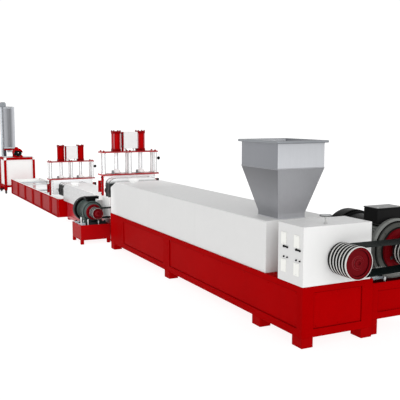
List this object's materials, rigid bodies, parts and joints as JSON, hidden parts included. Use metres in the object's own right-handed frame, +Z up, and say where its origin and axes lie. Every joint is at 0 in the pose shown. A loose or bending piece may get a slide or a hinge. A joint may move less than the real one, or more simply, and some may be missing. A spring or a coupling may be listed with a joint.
{
  "type": "plastic pelletizing line",
  "caption": "Two-stage plastic pelletizing line: belt-driven extruder with hopper, hydraulic screen changers, second extruder, water trough, strand pelletizer and silo.",
  "frame": {"origin": "on the floor at the middle of the footprint", "axes": "+Z up, +X along the line towards the main drive end, +Y towards the far side where the main motor stands"},
  "size_m": [13.635, 1.612, 2.2],
  "materials": {
    "red_paint": "satin deep red enamel",
    "red_gloss": "glossy deep red enamel",
    "white_paint": "glossy white enamel",
    "grey_paint": "satin light grey enamel",
    "sheet_steel": "brushed stainless sheet",
    "pulley_paint": "maroon face with machined pale rims",
    "maroon_paint": "satin maroon enamel",
    "belt_rubber": "matt black rubber",
    "motor_paint": "satin dark green-grey enamel",
    "black_paint": "satin black enamel",
    "black_plastic": "moulded black plastic",
    "grey_plastic": "grey plastic roller",
    "bright_chrome": "hard chrome",
    "bright_steel": "zinc plated steel"
  },
  "bodies": {
    "line": {"main_bed_frame": "red_paint", "second_bed_frame": "red_paint", "bed_panels": "red_gloss", "bed_feet": "red_paint", "main_gearbox": "white_paint", "second_gearbox": "white_paint", "gearbox_breather": "bright_steel", "gearbox_hatches": "white_paint", "hatch_latches": "black_plastic", "main_hood": "white_paint", "second_hood": "white_paint", "hood_vents": "white_paint", "hopper_bin": "sheet_steel", "hopper_cone": "sheet_steel", "main_belts": "belt_rubber", "second_belts": "belt_rubber", "motor_bodies": "motor_paint", "motor_end_covers": "maroon_paint", "motor_fan_cowls": "black_paint", "motor_terminal_boxes": "black_paint", "motor_bases": "red_paint", "motor_slide_rails": "bright_steel", "changer_adapters": "motor_paint", "changer_bodies": "grey_paint", "changer_plates": "red_paint", "changer_columns": "bright_chrome", "changer_cylinders": "red_gloss", "changer_brackets": "red_paint", "changer_control_boxes": "white_paint", "changer_knobs": "black_plastic", "trough_side_frames": "red_paint", "trough_side_walls": "red_gloss", "trough_end_walls": "red_paint", "trough_floor": "sheet_steel", "trough_rollers": "grey_plastic", "pelletizer_frame": "red_paint", "pelletizer_rails": "red_paint", "pelletizer_corners": "white_paint", "pelletizer_panels": "white_paint", "pelletizer_motor": "black_paint", "pelletizer_motor_mount": "red_paint", "pelletizer_casters": "black_plastic", "silo_shell": "sheet_steel", "silo_lid": "sheet_steel", "silo_floor": "sheet_steel", "silo_stand": "red_paint", "silo_pipe": "sheet_steel", "silo_blower": "maroon_paint"},
    "main_pulley": {"main_pulley": "pulley_paint"},
    "main_motor_pulley": {"main_motor_pulley": "pulley_paint"},
    "second_pulley": {"second_pulley": "pulley_paint"},
    "second_motor_pulley": {"second_motor_pulley": "pulley_paint"},
    "first_near_rod": {"first_near_rod": "bright_chrome"},
    "first_far_rod": {"first_far_rod": "bright_chrome"},
    "second_near_rod": {"second_near_rod": "bright_chrome"},
    "second_far_rod": {"second_far_rod": "bright_chrome"}
  },
  "joints": [
    {"name": "main_pulley_spin", "type": "hinge", "parent": "line", "child": "main_pulley", "pos_m": [6.704, -0.134, 0.706], "axis": [1, 0, 0], "continuous": true},
    {"name": "main_motor_spin", "type": "hinge", "parent": "line", "child": "main_motor_pulley", "pos_m": [6.704, 0.524, 0.712], "axis": [1, 0, 0], "continuous": true},
    {"name": "second_pulley_spin", "type": "hinge", "parent": "line", "child": "second_pulley", "pos_m": [1.5675, -0.142, 0.455], "axis": [1, 0, 0], "continuous": true},
    {"name": "second_motor_spin", "type": "hinge", "parent": "line", "child": "second_motor_pulley", "pos_m": [1.5675, -0.581, 0.452], "axis": [1, 0, 0], "continuous": true},
    {"name": "first_near_rod_slide", "type": "slide", "parent": "line", "child": "first_near_rod", "axis": [0, 0, 1], "range_m": [0, 0.165]},
    {"name": "first_far_rod_slide", "type": "slide", "parent": "line", "child": "first_far_rod", "axis": [0, 0, 1], "range_m": [0, 0.165]},
    {"name": "second_near_rod_slide", "type": "slide", "parent": "line", "child": "second_near_rod", "axis": [0, 0, 1], "range_m": [0, 0.165]},
    {"name": "second_far_rod_slide", "type": "slide", "parent": "line", "child": "second_far_rod", "axis": [0, 0, 1], "range_m": [0, 0.165]}
  ],
  "couplings": [
    {"joint": "main_motor_spin", "follows": "main_pulley_spin", "ratio": 1.1002},
    {"joint": "second_motor_spin", "follows": "second_pulley_spin", "ratio": 1.0738}
  ]
}
